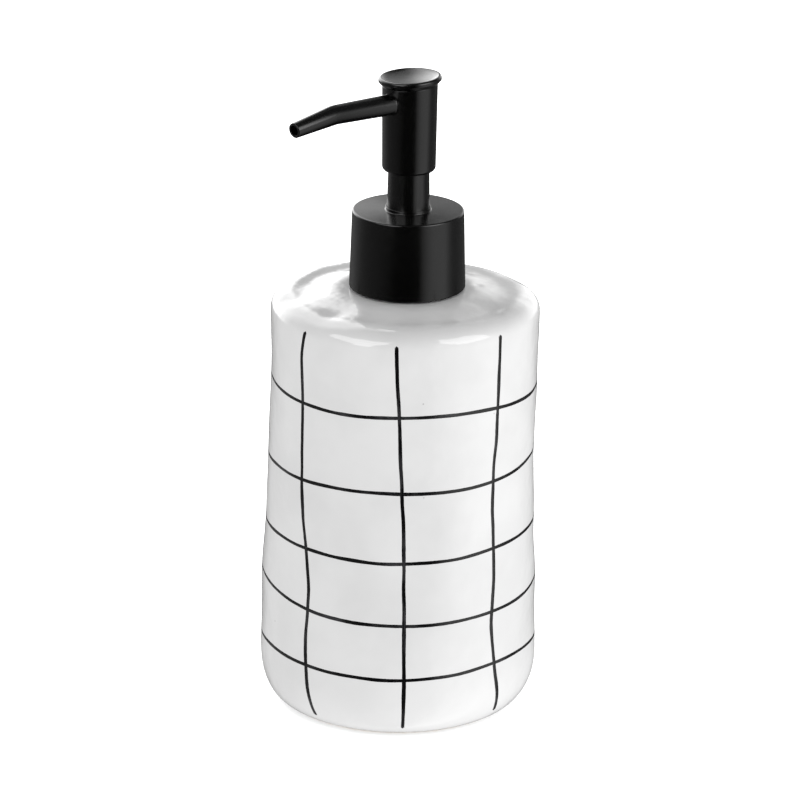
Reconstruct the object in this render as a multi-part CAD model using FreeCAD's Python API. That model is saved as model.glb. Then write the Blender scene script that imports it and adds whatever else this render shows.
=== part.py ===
import FreeCAD, Part
import math
import os

# Soap pump dispenser: a hand-formed glazed bottle and a screw-on lotion pump.
# Millimetres, +Z up. The origin is on the pump's axis, on the plane the bottle stands on.
# The spout points along -Y.

# ---- bottle, outside
bottle_height = 124.0          # the flat land round the mouth
belly_radius = 39.6            # widest, near the foot
waist_radius = 38.2            # under the shoulder
belly_top = 24.0               # the wall starts to draw in here
waist_bottom = 88.0            # and is at the waist radius from here up
foot_radius = 30.6             # edge of the flat underside
foot_round_height = 15.0
round_power = 2.3              # a little squarer than an ellipse
shoulder_round_height = 5.5
shoulder_round_width = 7.5
shoulder_fall = 1.3            # the top slopes down from the land to the shoulder
lean_top = 0.4                 # the clay body stands off the pump's axis
lean_foot = 1.55
lean_angle = 225.0             # direction of that offset, from +X towards +Y
wall_wave = 0.22               # the hand-worked unevenness of the wall
top_dip = 1.2                  # the top sinks on the side away from the front
top_dip_angle = 135.0

# ---- bottle, inside
bottle_wall = 3.4              # at the thinnest place
floor_thickness = 5.5
mouth_thickness = 6.0
inner_round = 10.0

# ---- fits
slide_gap = 0.05               # running fit, radial
press_gap = 0.02               # pieces pressed together
seat_gap = 0.1                 # faces that only meet at a stop
bond_gap = 0.1                 # adhesive
edge_break = 0.3               # chamfer that takes the edge off a moulding
lead_in = 0.5                  # chamfer that leads one piece into another
overcut = 1.0                  # a cutter runs this far past the face it cuts

# ---- threaded neck insert, bonded into the mouth
thread_root = 12.5
thread_height = 1.15
thread_pitch = 25.4 / 6
thread_base_width = 2.4
thread_crest_width = 1.0
thread_turns = 1.1
thread_start = 4.0             # middle of the thread's start above the land
neck_wall = 2.5
neck_height = 12.5             # the neck's top above the bottle's land
neck_flange = 1.4
neck_flange_step = 0.9         # beyond the thread's root
spigot_wall = 1.9
spigot_length = 8.0
neck_bore = thread_root - neck_wall
spigot_radius = neck_bore + spigot_wall
mouth_radius = spigot_radius + bond_gap

# ---- closure
closure_height = 22.55
closure_lift = 0.5             # the rim stands this far above the bottle
closure_wall = 1.02            # at its top
closure_draft = 0.65           # wider at the rim than at the top
closure_edge = 0.5
closure_plate = 1.2
closure_bead = 0.26            # the little rim round the tower
closure_bead_height = 1.0
closure_bead_fillet = 0.25
closure_bead_edge = 0.12
land_margin = 1.25             # the bottle's flat land reaches this far beyond the closure
nut_play = 0.25                # thread crest to the nut's bore
nut_wall = 0.98
nut_web = 1.6
nut_step = 0.8                 # the nut's top hole is smaller than its bore
nut_tower_play = 0.8           # round the tower
nut_lip = 0.7                  # the nut ends this far inside the rim
nut_thread_depth = 1.1
nut_thread_base_width = 1.6
nut_thread_crest_width = 0.6
nut_thread_play = 0.15
nut_bore = thread_root + thread_height + nut_play
nut_radius = nut_bore + nut_wall
closure_top_radius = nut_radius + press_gap + closure_wall
closure_radius = closure_top_radius + closure_draft
land_radius = closure_radius + land_margin

# ---- pump engine
gasket_thickness = 1.0
flange_thickness = 1.5
flange_inset = 0.3             # the flange is smaller than the neck
flange_radius = thread_root - flange_inset
barrel_bore = 6.5
barrel_wall = 1.0
barrel_floor = 1.5
barrel_cone = 0.8              # drop of the cone under the barrel, per mm of radius
vent_radius = 0.6              # lets air into the bottle above the piston
vent_drop = 8.5                # below the tower's skirt
tower_flange = 1.6
tower_flange_step = 0.2        # smaller than the housing's flange
tower_edge = 0.4
tower_skirt = 5.0              # its stop for the piston, below the flange
tower_draft = 0.31             # wider where it leaves the closure than at its top
tower_lip = 0.91               # wall round the wiper
tower_overlap = 3.7            # its length inside the head at rest
wiper_height = 2.0
wiper_thickness = 1.33
wiper_lip_width = 0.4
wiper_lip_height = 1.2
ball_radius = 2.4
passage_radius = 1.7
passage_length = 1.7           # between the inlet seat and the dip tube
inlet_ball_lift = 1.5
cage_thickness = 1.5
cage_hole_radius = 1.2
cage_slots = 4
cage_slot_length = 1.6
cage_slot_width = 1.4
cage_slot_start = 1.9          # from the axis
chamber_play = 0.8             # round the inlet ball
chamber_wall = 1.4
socket_length = 10.0
tube_radius = 3.0
tube_bore = 2.0
tube_clear_floor = 3.0
tube_slant = 35.0              # its lower end is cut at this angle, degrees

# ---- plunger
stroke = 10.0
stem_radius = 3.5
piston_height = 6.0
seal_band = 1.0                # the seal touches the barrel on two such bands
seal_waist = 0.9               # and is drawn in this far between them
plug_flange = 1.2
plug_flange_step = 2.1         # beyond the stem
plug_length = 5.0
plug_bore = 1.0
wire_radius = 0.45
spring_radius = 4.9
spring_turns = 7
spring_spare = 4.0             # coil length left when the head is down
outlet_ball_lift = 1.0
outlet_ball_play = 0.5         # round the outlet ball
outlet_drop = 1.0              # the outlet ball's middle is below the spout's line
outlet_cone = 0.9              # height of the outlet seat's cone
tower_bore_play = 0.8          # round the stem
spring_space = stroke + (spring_turns + 1) * 2 * wire_radius + spring_spare
barrel_depth = (tower_skirt + seat_gap + piston_height + plug_flange
                + spring_space + cage_thickness)
wiper_radius = stem_radius + slide_gap + wiper_thickness
tower_bore = stem_radius + tower_bore_play
tower_top_radius = wiper_radius + tower_lip
tower_base_radius = tower_top_radius + tower_draft

# ---- head
head_gap = stroke + 1.65       # between the closure's top and the head at rest
head_edge = 1.29
head_draft = 0.25              # wider at the cap
head_lip_play = 0.17           # round the tower's base
head_cavity_step = 0.2         # the hollow is wider than the lip
head_rim = 0.05                # flat left between the lip and the edge's round
head_lip_radius = tower_base_radius + head_lip_play
head_cavity = head_lip_radius + head_cavity_step
head_radius = head_lip_radius + head_edge + head_rim
head_top_radius = head_radius + head_draft
cap_overhang = 1.07
cap_radius = head_top_radius + cap_overhang
cap_thickness = 2.4
cap_cone = 1.15                # the cap widens over this height, and then has an upright edge
cap_edge = 0.7
cap_dish = 0.7                 # how far the cap's face is hollowed
cap_flat = 1.5                 # radius of the dish's flat middle
cap_rim = 0.2                  # flat left between the dish and the cap's edge
cap_dish_way = 0.55            # a point of the dish's curve: share of its radius
cap_dish_depth = 0.78          # and share of its depth there
cap_tilt = 2.9
cap_tilt_angle = 225.0         # the side of the cap that is low
cap_plug = 0.8
core_clear = 0.03              # between the core and the cap's plug
core_spare = 0.5               # between the core and the tower when the head is down

# ---- spout
spout_rise = 3.3               # slope of the first run, degrees
spout_fall = 6.1               # slope of the last run
spout_bend_at = 30.0           # from the axis
spout_reach = 44.9
spout_bend_radius = 18.0
spout_root_radius = 3.0
spout_mid_radius = 2.77
spout_tip_radius = 2.18
spout_bore = 1.45
spout_grip = 3.2               # length pressed into the head
spout_cover_below = 2.9        # plastic left under the spout's root
spout_cover_above = 2.0        # and over it
spout_inner_end = head_top_radius - spout_grip
core_floor = tower_overlap + stroke + core_spare
spout_height = core_floor + spout_root_radius + spout_cover_below
head_height = spout_height + spout_root_radius + spout_cover_above

V = FreeCAD.Vector
UP = V(0, 0, 1)
ORIGIN = V(0, 0, 0)


def turned(start, *steps):
    """A solid turned about Z. A step is a point (r, z), or (middle, end) of an arc."""
    edges = []
    here = V(start[0], 0, start[1])
    first = here
    for step in steps:
        if isinstance(step[0], tuple):
            middle = V(step[0][0], 0, step[0][1])
            there = V(step[1][0], 0, step[1][1])
            edges.append(Part.Arc(here, middle, there).toShape())
        else:
            there = V(step[0], 0, step[1])
            edges.append(Part.LineSegment(here, there).toShape())
        here = there
    edges.append(Part.LineSegment(here, first).toShape())
    return Part.Face(Part.Wire(edges)).revolve(ORIGIN, UP, 360)


def disc(radius, low, high):
    return Part.makeCylinder(radius, high - low, V(0, 0, low))


def ring(outer, inner, low, high):
    return disc(outer, low, high).cut(disc(inner, low - overcut, high + overcut))


def quarter(corner, inner, outer):
    """The middle of a quarter round from inner to outer about the given centre."""
    dr = (outer[0] - corner[0]) + (inner[0] - corner[0])
    dz = (outer[1] - corner[1]) + (inner[1] - corner[1])
    return (corner[0] + dr * math.sqrt(0.5), corner[1] + dz * math.sqrt(0.5))


def thread_ridge(root, crest, base_width, crest_width, start_z, turns):
    """A right-hand helical ridge that stands on a cylinder of radius root."""
    sink = 0.25 if crest > root else -0.25
    helix = Part.makeHelix(thread_pitch, thread_pitch * turns, root)
    helix.translate(V(0, 0, start_z))
    slope = (base_width - crest_width) / 2 / abs(crest - root)
    half_base = base_width / 2 + slope * abs(sink)
    corners = [
        V(root - sink, 0, start_z - half_base),
        V(crest, 0, start_z - crest_width / 2),
        V(crest, 0, start_z + crest_width / 2),
        V(root - sink, 0, start_z + half_base),
    ]
    profile = Part.makePolygon(corners + corners[:1])
    return Part.Wire(helix.Edges).makePipeShell([profile], True, True)


# ---- heights that pieces share
land_z = bottle_height
closure_low = land_z + closure_lift
closure_top = closure_low + closure_height
neck_top = land_z + neck_height
flange_low = neck_top + gasket_thickness
flange_top = flange_low + flange_thickness
tower_flange_top = flange_top + tower_flange
tower_top = closure_top + head_gap + tower_overlap
shelf_z = flange_top - barrel_depth
piston_stop = flange_top - tower_skirt
piston_top = piston_stop - seat_gap
piston_low = piston_top - piston_height
plug_low = piston_low - plug_flange
cage_top = shelf_z + cage_thickness
head_low = closure_top + head_gap
cap_z = head_low + head_height
core_low = head_low + core_floor
core_top = cap_z - cap_plug - head_cavity * math.sin(math.radians(cap_tilt)) - core_clear
spout_z = head_low + spout_height
seat_clear = 0.07                              # a ball at rest is this far off its seat
seat_drop = ball_radius * math.sqrt(2) - passage_radius + seat_clear
inlet_centre = shelf_z - seat_gap - inlet_ball_lift - ball_radius
inlet_seat = inlet_centre - seat_drop
tube_top = inlet_seat - passage_length
outlet_centre = spout_z - outlet_drop
outlet_seat = outlet_centre - seat_drop
stem_top = outlet_seat + outlet_cone
tower_cone = tower_draft / (tower_top - closure_top)


def tower_radius(z):
    return tower_base_radius - (z - closure_top) * tower_cone


# ---- bottle
def smooth(value):
    value = min(max(value, 0.0), 1.0)
    return value * value * (3 - 2 * value)


def wall_radius(z):
    draw_in = smooth((waist_bottom - z) / (waist_bottom - belly_top))
    return waist_radius + (belly_radius - waist_radius) * draw_in


def bottle_levels():
    """(radius, height, side share, top share) of each section from the foot to the land."""
    power = 2 / round_power
    levels = []
    for degrees in (0, 12, 28, 48, 70, 90):
        angle = math.radians(degrees)
        reach = wall_radius(foot_round_height) - foot_radius
        radius = foot_radius + reach * math.sin(angle) ** power
        height = foot_round_height * (1 - math.cos(angle) ** power)
        levels.append((radius, height, smooth(degrees / 90), 0.0))
    shoulder_z = land_z - shoulder_fall - shoulder_round_height
    for step in range(1, 8):
        height = foot_round_height + (shoulder_z - foot_round_height) * step / 8
        levels.append((wall_radius(height), height, 1.0, 0.0))
    edge = waist_radius - shoulder_round_width
    for degrees in (0, 18, 38, 58, 76, 90):
        angle = math.radians(degrees)
        radius = edge + shoulder_round_width * math.cos(angle) ** power
        height = shoulder_z + shoulder_round_height * math.sin(angle) ** power
        levels.append((radius, height, math.cos(angle), math.sin(angle)))
    for share in (0.35, 0.7, 1.0):
        radius = edge + (land_radius - edge) * share
        height = land_z - shoulder_fall * (1 - smooth(share))
        levels.append((radius, height, 0.0, 1 - smooth(share)))
    return levels


def bottle_section(radius, height, side, top):
    points = []
    lean = lean_foot + (lean_top - lean_foot) * height / land_z
    if side == 0 and top == 0 and height == land_z:
        lean = 0.0
    toward = math.radians(lean_angle)
    dip_angle = math.radians(top_dip_angle)
    for step in range(24):
        angle = math.radians(15 * step)
        wave = math.sin(2 * angle + 0.045 * height) + 0.7 * math.sin(3 * angle - 0.07 * height)
        reach = radius + wall_wave * side * wave
        dip = top_dip * top * (0.5 + 0.5 * math.cos(angle - dip_angle)) ** 2
        x = reach * math.cos(angle) + lean * math.cos(toward)
        y = reach * math.sin(angle) + lean * math.sin(toward)
        points.append(V(x, y, height - dip))
    curve = Part.BSplineCurve()
    curve.interpolate(Points=points, PeriodicFlag=True)
    return Part.Wire(curve.toShape())


def make_bottle():
    sections = [bottle_section(*level) for level in bottle_levels()]
    body = Part.makeLoft(sections, True, False)
    thinnest = min(waist_radius - lean_top, belly_radius - lean_foot)
    inner_radius = thinnest - wall_wave - bottle_wall
    low = floor_thickness
    high = land_z - mouth_thickness
    low_centre = (inner_radius - inner_round, low + inner_round)
    high_centre = (inner_radius - inner_round, high - inner_round)
    hollow = turned(
        (0, low),
        (inner_radius - inner_round, low),
        (quarter(low_centre, (low_centre[0], low), (inner_radius, low_centre[1])),
         (inner_radius, low + inner_round)),
        (inner_radius, high - inner_round),
        (quarter(high_centre, (high_centre[0], high), (inner_radius, high_centre[1])),
         (inner_radius - inner_round, high)),
        (0, high),
    )
    return body.cut(hollow).cut(disc(mouth_radius, high - overcut, land_z + overcut))


# ---- neck insert and gasket
def make_neck_insert():
    flange_top_z = land_z + neck_flange
    rim = thread_root + neck_flange_step
    body = turned(
        (neck_bore, land_z - spigot_length),
        (spigot_radius - lead_in, land_z - spigot_length),
        (spigot_radius, land_z - spigot_length + lead_in),
        (spigot_radius, land_z),
        (rim, land_z),
        (rim, flange_top_z - edge_break),
        (rim - edge_break, flange_top_z),
        (thread_root, flange_top_z),
        (thread_root, neck_top - lead_in),
        (thread_root - lead_in, neck_top),
        (neck_bore, neck_top),
    )
    ridge = thread_ridge(
        thread_root, thread_root + thread_height, thread_base_width, thread_crest_width,
        land_z + thread_start, thread_turns)
    return body.fuse(ridge)


def make_neck_gasket():
    return ring(flange_radius + seat_gap, neck_bore + 2 * seat_gap, neck_top, flange_low)


# ---- closure
def make_closure_shell():
    under_plate = closure_top - closure_plate
    hole = tower_radius(under_plate) + slide_gap
    bead = hole + closure_bead
    bead_top = closure_top + closure_bead_height
    cavity = nut_radius + press_gap
    edge_r = closure_top_radius - closure_edge
    edge_z = closure_top - closure_edge
    foot_r = bead + closure_bead_fillet
    foot_z = closure_top + closure_bead_fillet
    return turned(
        (cavity, closure_low),
        (closure_radius - edge_break, closure_low),
        (closure_radius, closure_low + edge_break),
        (closure_top_radius, edge_z),
        (quarter((edge_r, edge_z), (closure_top_radius, edge_z), (edge_r, closure_top)),
         (edge_r, closure_top)),
        (foot_r, closure_top),
        (quarter((foot_r, foot_z), (foot_r, closure_top), (bead, foot_z)), (bead, foot_z)),
        (bead, bead_top - closure_bead_edge),
        (bead - closure_bead_edge, bead_top),
        (hole, bead_top),
        (hole, under_plate),
        (cavity, under_plate),
    )


def make_closure_nut():
    low = closure_low + nut_lip
    web_low = tower_flange_top + seat_gap
    high = closure_top - closure_plate
    body = turned(
        (nut_bore, low),
        (nut_radius, low),
        (nut_radius, high),
        (nut_bore - nut_step, high),
        (nut_bore - nut_step, web_low + nut_web),
        (tower_base_radius + nut_tower_play, web_low + nut_web),
        (tower_base_radius + nut_tower_play, web_low),
        (nut_bore, web_low),
    )
    crest = nut_bore - nut_thread_depth
    middle = thread_root + thread_height / 2
    neck_half = (thread_base_width + thread_crest_width) / 4
    share = (nut_bore - middle) / nut_thread_depth
    narrowing = (nut_thread_base_width - nut_thread_crest_width) * share
    nut_half = (nut_thread_base_width - narrowing) / 2
    below = neck_half + nut_half + nut_thread_play
    ridge = thread_ridge(nut_bore, crest, nut_thread_base_width, nut_thread_crest_width,
                         land_z + thread_start - below, thread_turns)
    return body.fuse(ridge)


# ---- pump body
def make_pump_housing():
    outer = barrel_bore + barrel_wall
    chamber = ball_radius + chamber_play
    chamber_outer = chamber + chamber_wall
    socket = tube_radius + slide_gap
    cone_top = shelf_z - barrel_floor
    cone_low = cone_top - (outer - chamber_outer) * barrel_cone
    socket_low = tube_top - socket_length
    chamber_cone = chamber - passage_radius
    body = turned(
        (barrel_bore, flange_top),
        (barrel_bore, shelf_z),
        (chamber, shelf_z),
        (chamber, inlet_seat + chamber_cone),
        (passage_radius, inlet_seat),
        (passage_radius, tube_top),
        (socket, tube_top),
        (socket, socket_low),
        (chamber_outer - edge_break, socket_low),
        (chamber_outer, cone_low),
        (outer, cone_top),
        (outer, flange_low),
        (flange_radius, flange_low),
        (flange_radius, flange_top),
    )
    vent = Part.makeCylinder(
        vent_radius, outer + overcut, V(0, 0, piston_stop - vent_drop), V(1, 0, 0))
    return body.cut(vent)


def make_guide_tower():
    skirt = barrel_bore - slide_gap
    pocket_low = tower_top - wiper_height
    return turned(
        (tower_bore, piston_stop),
        (skirt - lead_in, piston_stop),
        (skirt, piston_stop + lead_in),
        (skirt, flange_top),
        (flange_radius - tower_flange_step, flange_top),
        (flange_radius - tower_flange_step, tower_flange_top),
        (tower_radius(tower_flange_top), tower_flange_top),
        (tower_radius(tower_top - tower_edge), tower_top - tower_edge),
        (tower_radius(tower_top) - tower_edge, tower_top),
        (wiper_radius + press_gap, tower_top),
        (wiper_radius + press_gap, pocket_low),
        (tower_bore, pocket_low),
    )


def make_stem_wiper():
    low = tower_top - wiper_height
    lip = stem_radius + slide_gap
    return turned(
        (lip + wiper_lip_width, low),
        (wiper_radius, low),
        (wiper_radius, tower_top),
        (lip, tower_top),
        (lip, low + wiper_lip_height),
    )


def make_ball_cage():
    plate = disc(barrel_bore - slide_gap, shelf_z, cage_top)
    plate = plate.cut(disc(cage_hole_radius, shelf_z - overcut, cage_top + overcut))
    for turn in range(cage_slots):
        slot = Part.makeBox(
            cage_slot_length, cage_slot_width, cage_thickness + 2 * overcut,
            V(cage_slot_start, -cage_slot_width / 2, shelf_z - overcut))
        slot.rotate(ORIGIN, UP, 360 / cage_slots * (turn + 0.5))
        plate = plate.cut(slot)
    return plate


def make_dip_tube():
    low = floor_thickness + tube_clear_floor
    tube = ring(tube_radius, tube_bore, low, tube_top)
    # the lower end is cut on the slant so that it can't seal against the floor
    reach = 3 * tube_radius
    knife = Part.makeBox(2 * reach, 2 * reach, 2 * reach, V(-reach, -reach, -2 * reach))
    knife.rotate(ORIGIN, V(0, 1, 0), tube_slant)
    knife.translate(V(0, 0, low + tube_radius * math.tan(math.radians(tube_slant))))
    return tube.cut(knife)


def make_return_spring():
    low = cage_top + wire_radius + seat_gap
    high = plug_low - wire_radius - seat_gap
    pitch = (high - low) / spring_turns
    helix = Part.makeHelix(pitch, high - low, spring_radius)
    helix.translate(V(0, 0, low))
    circle = Part.makeCircle(wire_radius, V(spring_radius, 0, low), V(0, 1, 0))
    return Part.Wire(helix.Edges).makePipeShell([Part.Wire(circle)], True, True)


def make_ball(centre):
    return Part.makeSphere(ball_radius, V(0, 0, centre))


# ---- plunger
def make_piston_stem():
    return turned(
        (passage_radius, piston_low),
        (stem_radius, piston_low),
        (stem_radius, stem_top),
        (passage_radius + stem_top - outlet_seat, stem_top),
        (passage_radius, outlet_seat),
    )


def make_piston_seal():
    inner = stem_radius + press_gap
    lip = barrel_bore - slide_gap
    waist = lip - seal_waist
    band_end = seal_band + seal_waist
    return turned(
        (inner, piston_low),
        (lip - lead_in, piston_low),
        (lip, piston_low + edge_break),
        (lip, piston_low + seal_band),
        (waist, piston_low + band_end),
        (waist, piston_top - band_end),
        (lip, piston_top - seal_band),
        (lip, piston_top - edge_break),
        (lip - lead_in, piston_top),
        (inner, piston_top),
    )


def make_piston_plug():
    shank = passage_radius - press_gap
    return turned(
        (plug_bore, plug_low),
        (stem_radius + plug_flange_step, plug_low),
        (stem_radius + plug_flange_step, piston_low),
        (shank, piston_low),
        (shank, piston_low + plug_length - edge_break),
        (shank - edge_break, piston_low + plug_length),
        (plug_bore, piston_low + plug_length),
    )


def tilted_cap_frame(shape):
    """Tilts a shape made about the cap's centre, and lifts it to its place."""
    low_side = math.radians(cap_tilt_angle)
    hinge = V(-math.sin(low_side), math.cos(low_side), 0)
    shape.rotate(ORIGIN, hinge, cap_tilt)
    shape.translate(V(0, 0, cap_z))
    return shape


def spout_axis():
    """Points and directions of the spout's two runs and the bend between them."""
    rise = math.radians(spout_rise)
    fall = math.radians(spout_fall)
    corner = V(0, -spout_bend_at, spout_z + spout_bend_at * math.tan(rise))
    first = V(0, -math.cos(rise), math.sin(rise))
    last = V(0, -math.cos(fall), -math.sin(fall))
    trim = spout_bend_radius * math.tan((rise + fall) / 2)
    return corner, first, last, trim


def rod(start_radius, end_radius, length, start, direction):
    if start_radius == end_radius:
        return Part.makeCylinder(start_radius, length, start, direction)
    return Part.makeCone(start_radius, end_radius, length, start, direction)


def spout_solid(root, middle, tip, overrun):
    """The spout's outside or its bore, from root to tip radius, run on at both ends."""
    corner, first, last, trim = spout_axis()
    root_point = corner - first * ((spout_bend_at - spout_inner_end + overrun) / -first.y)
    bend_start = corner - first * trim
    bend_end = corner + last * trim
    tip_length = (spout_reach - spout_bend_at) / -last.y - trim + overrun
    root_run = rod(root, middle, (bend_start - root_point).Length, root_point, first)
    centre = bend_start + V(0, first.z, -first.y).multiply(-spout_bend_radius)
    turn = spout_rise + spout_fall
    ring_face = Part.Face(Part.Wire(Part.makeCircle(middle, bend_start, first)))
    bend = ring_face.revolve(centre, V(1, 0, 0), turn)
    tip_run = rod(middle, tip, tip_length, bend_end, last)
    return root_run.fuse([bend, tip_run])


def make_spout():
    body = spout_solid(spout_root_radius, spout_mid_radius, spout_tip_radius, 0.0)
    bore = spout_solid(spout_bore, spout_bore, spout_bore, overcut)
    return body.cut(bore)


def spout_hole(gap):
    """The straight hole that the spout's root is pressed into."""
    corner, first, last, trim = spout_axis()
    start = corner - first * ((spout_bend_at - spout_inner_end) / -first.y)
    length = head_top_radius + overcut - spout_inner_end
    return Part.makeCylinder(spout_root_radius + gap, length, start, first)


def make_head_shell():
    top = cap_z + overcut
    edge_z = head_low + head_edge
    edge_r = head_radius - head_edge
    body = turned(
        (head_lip_radius, head_low),
        (edge_r, head_low),
        (quarter((edge_r, edge_z), (edge_r, head_low), (head_radius, edge_z)),
         (head_radius, edge_z)),
        (head_top_radius, cap_z),
        (head_top_radius, top),
        (head_cavity, top),
        (head_cavity, edge_z + head_cavity_step),
        (head_lip_radius, edge_z),
    )
    above = tilted_cap_frame(disc(cap_radius + overcut, 0, 2 * overcut))
    return body.cut(above).cut(spout_hole(press_gap))


def make_head_core():
    body = disc(head_cavity - press_gap, core_low, core_top)
    chamber_top = outlet_centre + ball_radius + outlet_ball_lift + seat_gap
    body = body.cut(disc(stem_radius + press_gap, core_low - overcut, stem_top))
    body = body.cut(disc(ball_radius + outlet_ball_play, core_low, chamber_top))
    corner, first, last, trim = spout_axis()
    duct_start = corner - first * (spout_bend_at / -first.y)
    duct = Part.makeCylinder(spout_bore, spout_inner_end, duct_start, first)
    return body.cut(duct).cut(spout_hole(press_gap))


def make_head_cap():
    face = cap_radius - cap_edge
    rim_z = cap_thickness - cap_edge
    plug = head_cavity - press_gap - cap_plug * math.tan(math.radians(cap_tilt))
    body = turned(
        (0, -cap_plug),
        (plug, -cap_plug),
        (plug, 0),
        (head_top_radius, 0),
        (cap_radius, cap_cone),
        (cap_radius, rim_z),
        (quarter((face, rim_z), (face, cap_thickness), (cap_radius, rim_z)),
         (face, cap_thickness)),
        (face - cap_rim, cap_thickness),
        ((face * cap_dish_way, cap_thickness - cap_dish * cap_dish_depth),
         (cap_flat, cap_thickness - cap_dish)),
        (0, cap_thickness - cap_dish),
    )
    return tilted_cap_frame(body)


shapes = {
    "bottle": make_bottle(),
    "neck_insert": make_neck_insert(),
    "neck_gasket": make_neck_gasket(),
    "closure_shell": make_closure_shell(),
    "closure_nut": make_closure_nut(),
    "pump_housing": make_pump_housing(),
    "guide_tower": make_guide_tower(),
    "stem_wiper": make_stem_wiper(),
    "ball_cage": make_ball_cage(),
    "dip_tube": make_dip_tube(),
    "inlet_ball": make_ball(inlet_centre),
    "return_spring": make_return_spring(),
    "piston_stem": make_piston_stem(),
    "piston_seal": make_piston_seal(),
    "piston_plug": make_piston_plug(),
    "outlet_ball": make_ball(outlet_centre),
    "head_shell": make_head_shell(),
    "head_core": make_head_core(),
    "head_cap": make_head_cap(),
    "spout": make_spout(),
}

os.makedirs("parts", exist_ok=True)
for name, shape in shapes.items():
    shape.exportStep("parts/" + name + ".step")
    box = shape.BoundBox
    print("%-14s solids %d valid %s volume %8.1f  z %7.2f to %7.2f  y %7.2f to %7.2f" % (
        name, len(shape.Solids), shape.isValid(), shape.Volume,
        box.ZMin, box.ZMax, box.YMin, box.YMax))
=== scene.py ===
import math

import bpy
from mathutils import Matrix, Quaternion, Vector, noise


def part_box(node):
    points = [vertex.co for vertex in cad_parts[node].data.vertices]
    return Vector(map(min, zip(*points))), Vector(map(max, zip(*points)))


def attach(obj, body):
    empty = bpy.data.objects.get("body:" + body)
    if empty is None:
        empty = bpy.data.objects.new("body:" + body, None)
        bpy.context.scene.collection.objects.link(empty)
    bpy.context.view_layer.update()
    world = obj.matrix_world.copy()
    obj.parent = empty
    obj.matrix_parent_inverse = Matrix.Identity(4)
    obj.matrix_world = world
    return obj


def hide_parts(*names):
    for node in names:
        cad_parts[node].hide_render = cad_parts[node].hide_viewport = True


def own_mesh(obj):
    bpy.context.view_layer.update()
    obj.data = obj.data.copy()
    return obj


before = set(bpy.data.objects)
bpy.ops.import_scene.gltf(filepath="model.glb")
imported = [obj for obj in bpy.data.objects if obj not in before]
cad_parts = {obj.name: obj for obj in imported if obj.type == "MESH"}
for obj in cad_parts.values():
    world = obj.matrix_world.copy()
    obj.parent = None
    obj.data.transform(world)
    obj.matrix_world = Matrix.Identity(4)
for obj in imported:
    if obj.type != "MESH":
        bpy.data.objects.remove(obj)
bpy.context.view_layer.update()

bl_info = {
    "name": "Soap pump dispenser",
    "version": (1, 0, 0),
    "blender": (4, 5, 0),
    "location": "View3D > Sidebar > Dispenser",
    "description": "A hand-painted stoneware soap bottle with a black lotion pump",
    "category": "Object",
}

MM = 0.001
MERGE = 0.002 * MM

# Places that come from the frame.
LAND_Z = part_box("bottle")[1].z
CLOSURE_LOW, CLOSURE_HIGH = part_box("closure_shell")
TOWER_LOW, TOWER_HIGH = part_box("guide_tower")
HEAD_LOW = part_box("head_shell")[0]
SPRING_LOW, SPRING_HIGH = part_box("return_spring")


def linear(hex_colour):
    """An sRGB hex colour as linear red, green, blue and alpha."""
    shares = [int(hex_colour[place:place + 2], 16) / 255 for place in (1, 3, 5)]
    return [s / 12.92 if s <= 0.04045 else ((s + 0.055) / 1.055) ** 2.4 for s in shares] + [1.0]


def smooth(value):
    value = min(max(value, 0.0), 1.0)
    return value * value * (3 - 2 * value)


# ---- what a user would change
def size(name, text, value):
    """A length in metres, shown in the scene's unit."""
    return bpy.props.FloatProperty(
        name=name, description=text, default=value, precision=5, unit="LENGTH", subtype="DISTANCE")


def turn(name, text, degrees):
    return bpy.props.FloatProperty(
        name=name, description=text, default=math.radians(degrees), unit="ROTATION", subtype="ANGLE")


def share(name, text, value):
    return bpy.props.FloatProperty(name=name, description=text, default=value, min=0.0)


def tint(name, text, hex_colour):
    return bpy.props.FloatVectorProperty(
        name=name, description=text, default=linear(hex_colour), size=4, subtype="COLOR", min=0.0, max=1.0)


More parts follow.
